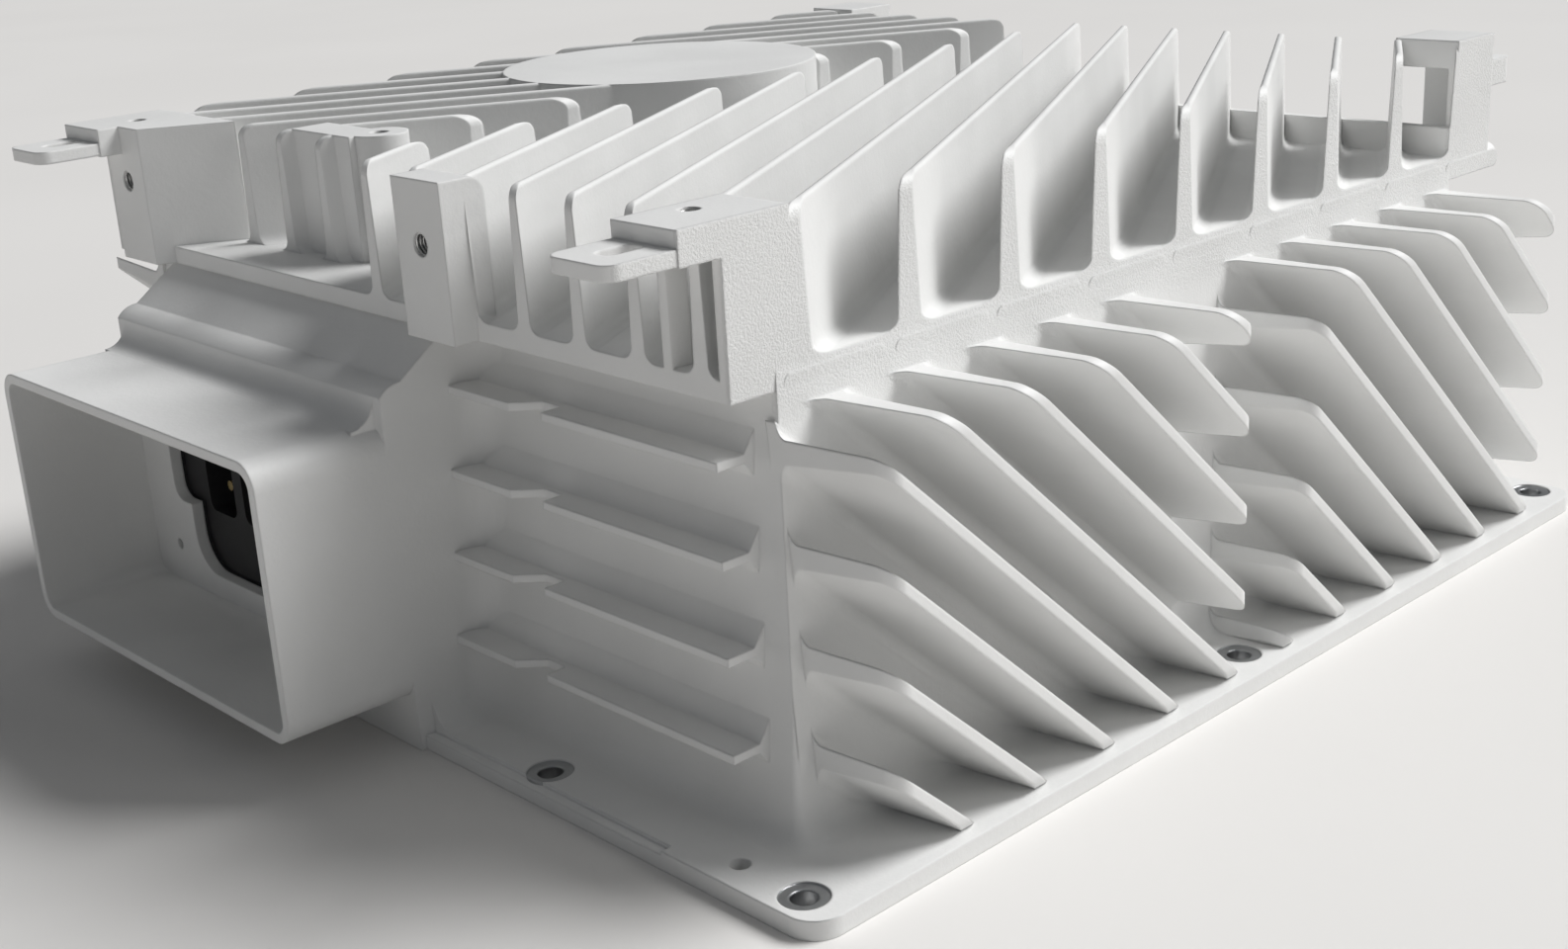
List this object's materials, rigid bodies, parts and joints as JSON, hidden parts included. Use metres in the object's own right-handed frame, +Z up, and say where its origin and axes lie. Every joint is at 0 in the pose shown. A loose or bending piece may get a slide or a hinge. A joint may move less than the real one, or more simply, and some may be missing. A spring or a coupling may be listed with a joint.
{
  "type": "micro inverter",
  "caption": "Square finned die-cast inverter housing lying on its flange: chevron top fins, slanted side fins, slotted ears and a hooded connector bay.",
  "frame": {"origin": "centre of the flange's underside, which is the plane the part lies on", "axes": "+Z up through the top fins, -Y towards the connector hood, +X towards the side nearer the hood-free half of the front"},
  "size_m": [0.352, 0.3952, 0.149],
  "materials": {
    "cast_coat": "fine sandy off-white powder coat over an aluminium die-casting",
    "cover_metal": "plain sheet, lightly brushed",
    "seal": "matt silicone rubber",
    "screw_steel": "zinc plated, slightly dull",
    "membrane": "white fibrous film",
    "black_plastic": "moulded glass-filled plastic, dull",
    "green_plastic": "moulded plastic, dull",
    "contact_brass": "turned, bright",
    "board_green": "solder mask over glass fibre, satin",
    "ferrite": "pressed and sintered ferrite, dark grey and matt",
    "copper_wire": "enamelled copper wire, glossy",
    "thermal_pad": "soft grey-blue gap filler",
    "capacitor_sleeve": "shrunk sleeve, glossy",
    "film_case": "moulded case, satin",
    "relay_case": "moulded case, satin",
    "varistor_coat": "dipped epoxy, glossy",
    "fuse_body": "glazed ceramic tube",
    "chip_epoxy": "moulded epoxy, matt",
    "shield_can": "tinned sheet",
    "clamp_spring": "rolled strip, dull"
  },
  "bodies": {
    "root": {"board_header": "black_plastic", "board_screws": "screw_steel", "bulk_capacitors": "capacitor_sleeve", "carrier_gasket": "seal", "carrier_screws": "screw_steel", "choke_cores": "ferrite", "choke_windings": "copper_wire", "clamp_bars": "clamp_spring", "clamp_screws": "screw_steel", "connector_carrier": "black_plastic", "contact_pins": "contact_brass", "control_board": "board_green", "control_chips": "chip_epoxy", "control_screws": "screw_steel", "control_standoffs": "contact_brass", "core_pads": "thermal_pad", "cover_gasket": "seal", "cover_plate": "cover_metal", "cover_screws": "screw_steel", "current_sensors": "black_plastic", "film_capacitors": "film_case", "fuse_holders": "black_plastic", "fuses": "fuse_body", "housing": "cast_coat", "main_board": "board_green", "power_transistors": "chip_epoxy", "radio_module": "shield_can", "relays": "relay_case", "standoff_nuts": "screw_steel", "terminal_blocks": "green_plastic", "transformer_bobbins": "black_plastic", "transformer_cores": "ferrite", "transformer_windings": "copper_wire", "transistor_pads": "thermal_pad", "varistors": "varistor_coat", "vent_membrane": "membrane"}
  },
  "joints": []
}
